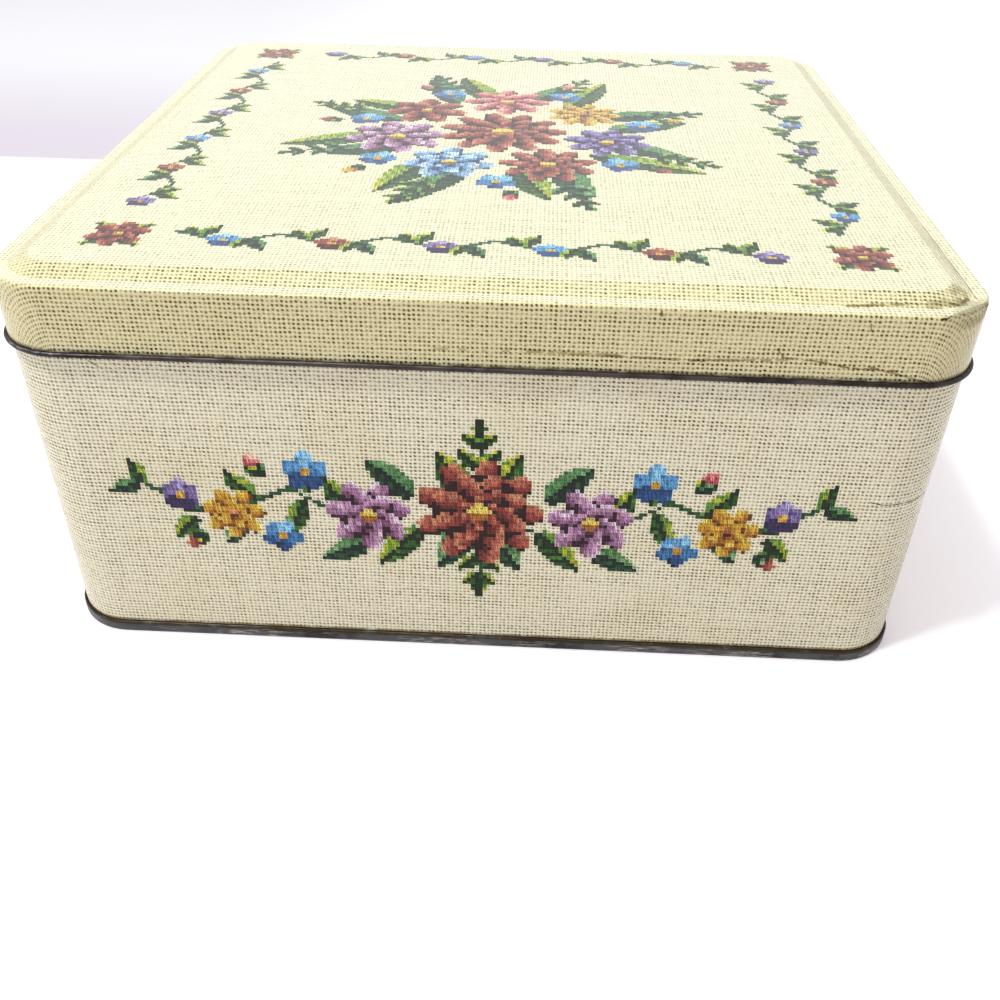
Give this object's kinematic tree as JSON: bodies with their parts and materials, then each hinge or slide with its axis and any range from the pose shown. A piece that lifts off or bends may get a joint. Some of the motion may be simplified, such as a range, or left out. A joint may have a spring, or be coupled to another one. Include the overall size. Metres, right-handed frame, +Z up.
{
  "type": "tin box",
  "caption": "Low square tinplate keepsake box with rounded corners, a loose slip-on lid with a raised flat panel, curled edges and a double-seamed foot.",
  "frame": {"origin": "middle of the foot, on the surface that the box stands on", "axes": "+Z up, +X to the right of someone facing the front, +Y from the front to the back"},
  "size_m": [0.2128, 0.2128, 0.0973],
  "materials": {
    "printed_tinplate": "glossy varnish over a printed canvas pattern",
    "bare_tinplate": "dull unprinted tinplate"
  },
  "bodies": {
    "box": {"body_wall": "printed_tinplate", "base": "bare_tinplate"},
    "lid": {"lid": "printed_tinplate"}
  },
  "joints": [
    {"name": "lid_lift", "type": "slide", "parent": "box", "child": "lid", "axis": [0, 0, 1], "range_m": [0, 0.15]}
  ]
}
